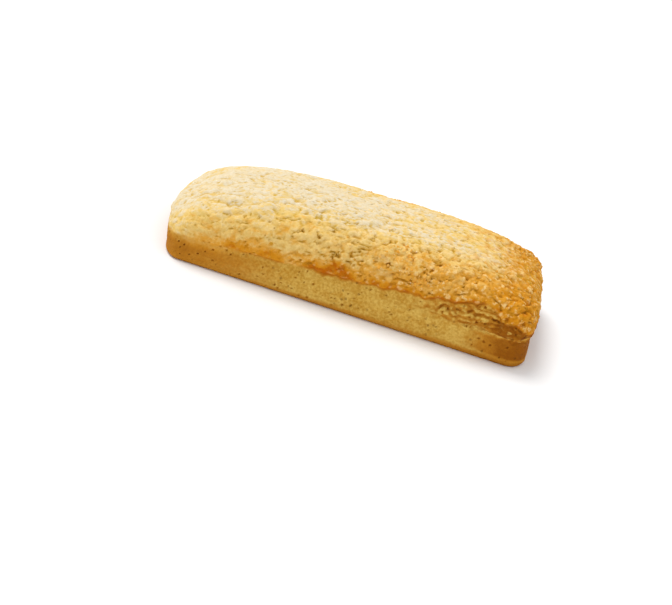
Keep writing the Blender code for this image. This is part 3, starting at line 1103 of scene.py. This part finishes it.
def hollow_shaded(skin, surface, hollow_shade_colour):
    """The surface with its holes and gaps in the hollows' colour, and dark brown when deep: painted
    shade.
    """
    surface = skin.mix(skin.ramp(skin.hollow, 0.1, 0.9, 0.0, 0.75), surface, hollow_shade_colour)
    deep = skin.times(
        skin.ramp(skin.hollow, 0.7, 1.0),
        skin.ramp(skin.crust, 0.0, 1.0, 0.55, 0.45),
        skin.ramp(skin.golden, 0.3, 0.8, 0.35, 1.0),
    )
    return skin.mix(deep, surface, DEEP_HOLLOW_SHADE)


def creviced_and_shaded(skin, surface):
    """The surface with brown crevices among its crags, painted shade that is strongest where it lies
    low, and light edges on the torn dough, a painted highlight.
    """
    rough = skin.math("MAXIMUM", skin.math("MAXIMUM", skin.crust, skin.torn), WALL_ROUGHNESS)
    # Painted shade: brown crevice marks, strongest where the relief lies low.
    crevices = skin.times(
        skin.ramp(skin.noise(1.2, 2.0, (1.5, 1.0, 0.8)), 0.58, 0.70),
        skin.ramp(skin.raised, -0.2, 0.6, 1.0, 0.3),
        skin.ramp(skin.along, -25.0, 25.0, 0.15, 0.75),
        skin.ramp(skin.golden, 0.3, 0.7, 0.25, 1.0),
        rough,
    )
    surface = skin.mix(crevices, surface, CREVICE_SHADE_BROWN)
    # Painted highlight: light edges where the torn dough stands out.
    torn_edge_highlight = skin.times(
        skin.ramp(skin.noise(1.1, 3.0, (1.6, 1.0, 0.8)), 0.53, 0.66),
        skin.ramp(skin.raised, -0.2, 0.5, 0.1, 0.8),
        skin.torn,
    )
    return skin.mix(torn_edge_highlight, surface, WALL_LIGHT)


def pored(skin, surface, hollow_shade_colour):
    """The surface with its pores darkened, painted shade, and with its grain in the hollows' colour.
    """
    pore_colour = skin.mix(skin.crust, PORE_SHADE_BROWN, hollow_shade_colour)
    surface = skin.mix(skin.times(skin.pores, 0.5), surface, pore_colour)
    return skin.mix(skin.ramp(skin.grain, 0.35, 0.65, 0.24, 0.0), surface, hollow_shade_colour)


def add_bump(skin):
    """The finest relief: grain, a finer grain upon it, and the pores."""
    finer = skin.times(skin.noise(0.28, 2.0), FINE_GRAIN_HEIGHT)
    height = skin.plus(skin.times(skin.grain, GRAIN_HEIGHT), finer)
    pore_depth = skin.times(skin.pores, skin.ramp(skin.crust, 0.0, 1.0, *PORE_DEPTHS))
    inputs = {"Strength": BUMP_STRENGTH, "Distance": 1.0, "Height": skin.minus(height, pore_depth)}
    skin.feed(skin.principled, {"Normal": skin.add("ShaderNodeBump", inputs)["Normal"]})


def crust_material():
    """Baked crust and wall: cream to gold to brown, with flakes, hollows, pores and grain, and with
    highlight and shade painted by the relief.
    """
    skin = SkinShader()
    brown = brown_and_shade_amount(skin)
    surface = skin.mix(skin.crust, wall_colour(skin), crust_colour(skin))
    surface = flaked_and_highlit(skin, browned_and_shaded(skin, surface, brown), brown)
    # The hollows' colour, on the wall a darkened copy of its surface: painted shade.
    wall_hollow = skin.mix(1.0, surface, WALL_HOLLOW_SHADE_TINT, "MULTIPLY")
    hollow_shade_colour = skin.mix(skin.crust, wall_hollow, skin.crust_hollow)
    surface = creviced_and_shaded(skin, hollow_shaded(skin, surface, hollow_shade_colour))
    surface = pored(skin, surface, hollow_shade_colour)
    roughness = skin.ramp(skin.grain, 0.3, 0.7, 0.78, 0.92)
    inputs = {"Base Color": surface, "Roughness": roughness, "Specular IOR Level": 0.08}
    skin.feed(skin.principled, inputs)
    add_bump(skin)
    return skin.material


def sugar_material():
    """Pale sugar crystals, a little cloudy."""
    shader = Shader("sugar")
    cloud = shader.noise(0.6, 2.0)
    surface = shader.mix(cloud, SUGAR_CLEAR, SUGAR_WHITE)
    roughness = shader.ramp(cloud, 0.3, 0.7, 0.25, 0.5)
    shader.feed(shader.principled, {"Base Color": surface, "Roughness": roughness})
    return shader.material


def crumb_material():
    """Loose crumbs of crust, cream to gold."""
    shader = Shader("crumb")
    # Pale on the crown and golden to the sides, like the crust's painted highlight.
    aside = shader.ramp(shader.math("ABSOLUTE", shader.across), 5.0, 15.0, 0.0, 0.7)
    towards_end = shader.ramp(shader.along, 22.0, 45.0, 0.0, 0.5)
    tone = shader.plus(aside, towards_end, shader.ramp(shader.noise(2.5, 2.0), 0.35, 0.65, 0.0, 0.4))
    surface = shader.mix(shader.ramp(tone, 0.0, 0.6), CRUMB_CREAM, LIGHT_GOLD)
    surface = shader.mix(shader.ramp(tone, 0.5, 1.1), surface, DEEP_GOLD)
    inputs = {"Base Color": surface, "Roughness": 0.85, "Specular IOR Level": 0.1}
    shader.feed(shader.principled, inputs)
    return shader.material


# -------- sugar and crumbs


class Scatter(NamedTuple):
    """Small pieces on the crust: how many, their smallest and largest size, how deep they
    sit as a share of that, the seed of their draws, and where they gather."""
    count: int
    smallest: float
    largest: float
    sunk: float
    seed: int
    gathered: Pattern


SUGAR = Scatter(56, 0.28 * MM, 0.5 * MM, 0.3, 31, Pattern((9.0, 6.0, 6.0), 35.0))
CRUMB = Scatter(320, 0.6 * MM, 1.5 * MM, 0.25, 32, Pattern((12.0, 8.0, 8.0), 32.0))
SCATTER_START = mm(-8.0, 15.0)
SCATTER_END = mm(18.0, 34.0)
SCATTER_END_LOSS = 0.85
SCATTER_CHANCES = (0.01, 0.07)
SCATTER_LOWEST = 14.0 * MM
CRUST_ONLY = 0.99

# Both kinds also gather in one cluster on the crown.
CLUSTER_MIDDLE = Vector((5.5 * MM, -4.5 * MM, 22.5 * MM))
CLUSTER_REACH = 4.5 * MM

CRUMB_ROUGHNESS = (0.7, 1.1)
CRYSTAL_ROUGHNESS = (0.75, 1.05)
CRYSTAL_SIDE_SHARE = 0.8


def scatter_places(biscuit, scatter, draws):
    """Random vertices of the crust, as places and normals, denser where they gather."""
    data = biscuit.data
    on_crust = np.empty(len(data.vertices))
    data.attributes["crust"].data.foreach_get("value", on_crust)
    top = cad_high[2] - scatter.largest
    places = []
    while len(places) < scatter.count:
        index = draws.randrange(len(data.vertices))
        vertex = data.vertices[index]
        gathered = smooth(-0.1, 0.3, wave(vertex.co, scatter.gathered))
        chance = smooth(*SCATTER_START, vertex.co.x) * between(*SCATTER_CHANCES, gathered)
        chance *= 1.0 - SCATTER_END_LOSS * smooth(*SCATTER_END, vertex.co.x)
        from_cluster = (vertex.co - CLUSTER_MIDDLE).length / CLUSTER_REACH
        chance = max(chance, 1.0 - from_cluster ** 2)
        fits = SCATTER_LOWEST < vertex.co.z < top and on_crust[index] > CRUST_ONLY
        if fits and draws.random() < chance:
            places.append((vertex.co.copy(), vertex.normal.copy()))
    return places


def lump_shape(mesh, size, draws):
    """One rough crumb, a ball pushed in and out at random."""
    made = bmesh.ops.create_icosphere(mesh, subdivisions=1, radius=size / 2)["verts"]
    for vert in made:
        vert.co *= draws.uniform(*CRUMB_ROUGHNESS)
    return made


def crystal_shape(mesh, size, draws):
    """One sugar crystal, a cube with its corners moved a little at random."""
    made = bmesh.ops.create_cube(mesh, size=size * CRYSTAL_SIDE_SHARE)["verts"]
    for vert in made:
        vert.co *= draws.uniform(*CRYSTAL_ROUGHNESS)
    return made


def make_scatter(name, biscuit, scatter, shape, material):
    """All pieces of one kind as one mesh, each turned at random and sunk into the crust."""
    draws = random.Random(scatter.seed)
    mesh = bmesh.new()
    for place, normal in scatter_places(biscuit, scatter, draws):
        size = draws.uniform(scatter.smallest, scatter.largest)
        made = shape(mesh, size, draws)
        axis = Vector([draws.uniform(-1, 1) for _ in range(3)])
        turn = Matrix.Rotation(draws.uniform(0.0, math.tau), 3, axis)
        for vert in made:
            vert.co = place - normal * size * scatter.sunk + turn @ vert.co
    piece = new_piece(name, mesh)
    piece.data.materials.append(material)
    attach(piece, BODY)


# -------- stage, light and camera

PHOTO_WIDTH_PX = 672
PHOTO_HEIGHT_PX = 605
SENSOR_WIDTH_MM = 36.0
CAMERA_AZIMUTH = 2.11
CAMERA_ELEVATION = 26.83
CAMERA_ROLL = 17.06
CAMERA_DISTANCE = 0.4
PIXELS_PER_MM = 3.413
AIM_POINT = Vector((0.0, 0.0, 8.0 * MM))
AIM_PIXEL = (356.9, 253.7)


def make_camera():
    """The camera looks down on the bar's front, and is rolled so that the bar lies askew."""
    azimuth = math.radians(CAMERA_AZIMUTH)
    elevation = math.radians(CAMERA_ELEVATION)
    back = Vector((
        math.sin(azimuth) * math.cos(elevation),
        -math.cos(azimuth) * math.cos(elevation),
        math.sin(elevation),
    ))
    right = Vector((math.cos(azimuth), math.sin(azimuth), 0.0))
    up = back.cross(right)
    turn = Matrix((right, up, back)).transposed() @ Matrix.Rotation(math.radians(CAMERA_ROLL), 3, "Z")

    focal_px = PIXELS_PER_MM * CAMERA_DISTANCE / MM
    offset_x = AIM_PIXEL[0] - PHOTO_WIDTH_PX / 2
    offset_y = AIM_PIXEL[1] - PHOTO_HEIGHT_PX / 2
    aim = Vector((offset_x, -offset_y, -focal_px))
    swing = Vector((0.0, 0.0, -1.0)).rotation_difference(aim).to_matrix()

    camera = bpy.data.objects.new("camera", bpy.data.cameras.new("camera"))
    camera.matrix_world = (turn @ swing.inverted()).to_4x4()
    camera.location = AIM_POINT + back * CAMERA_DISTANCE
    camera.data.sensor_width = SENSOR_WIDTH_MM
    camera.data.lens = focal_px * SENSOR_WIDTH_MM / PHOTO_WIDTH_PX
    camera.data.clip_start = 0.01
    bpy.context.scene.collection.objects.link(camera)
    bpy.context.scene.camera = camera


FLOOR_SIZE = 8.0
FLOOR_GAP = 0.1 * MM
FLOOR_WHITE = (0.9, 0.9, 0.9, 1.0)
FLOOR_ROUGHNESS = 0.9
SKY_STRENGTH = 0.82
SUN_STRENGTH = 1.65
SUN_SOFTNESS = 28.0
SUN_FROM = Vector((-0.48, 0.32, 1.0))


def make_stage():
    """A plain white floor under a soft white sky, with one large soft light."""
    mesh = bmesh.new()
    bmesh.ops.create_grid(mesh, x_segments=1, y_segments=1, size=FLOOR_SIZE / 2)
    bmesh.ops.translate(mesh, verts=mesh.verts, vec=(0.0, 0.0, -FLOOR_GAP))
    floor = new_piece("floor", mesh)
    white = bpy.data.materials.new("floor_white")
    white.use_nodes = True
    principled = white.node_tree.nodes["Principled BSDF"]
    principled.inputs["Base Color"].default_value = FLOOR_WHITE
    principled.inputs["Roughness"].default_value = FLOOR_ROUGHNESS
    principled.inputs["Specular IOR Level"].default_value = 0.0
    floor.data.materials.append(white)

    sky = bpy.data.worlds.new("sky")
    sky.use_nodes = True
    background = sky.node_tree.nodes["Background"]
    background.inputs["Color"].default_value = (1.0, 1.0, 1.0, 1.0)
    background.inputs["Strength"].default_value = SKY_STRENGTH
    bpy.context.scene.world = sky

    sun = bpy.data.objects.new("soft_key", bpy.data.lights.new("soft_key", "SUN"))
    sun.data.energy = SUN_STRENGTH
    sun.data.angle = math.radians(SUN_SOFTNESS)
    sun.rotation_euler = SUN_FROM.to_track_quat("Z", "Y").to_euler()
    bpy.context.scene.collection.objects.link(sun)
    bpy.context.scene.view_settings.view_transform = "Standard"


# -------- everything together


def main():
    """Makes every piece, the stage and the camera."""
    biscuit = make_biscuit()
    biscuit.data.materials.append(crust_material())
    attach(biscuit, BODY)
    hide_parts(NODE)
    make_scatter("sugar", biscuit, SUGAR, crystal_shape, sugar_material())
    make_scatter("crumbs", biscuit, CRUMB, lump_shape, crumb_material())
    make_stage()
    make_camera()


main()
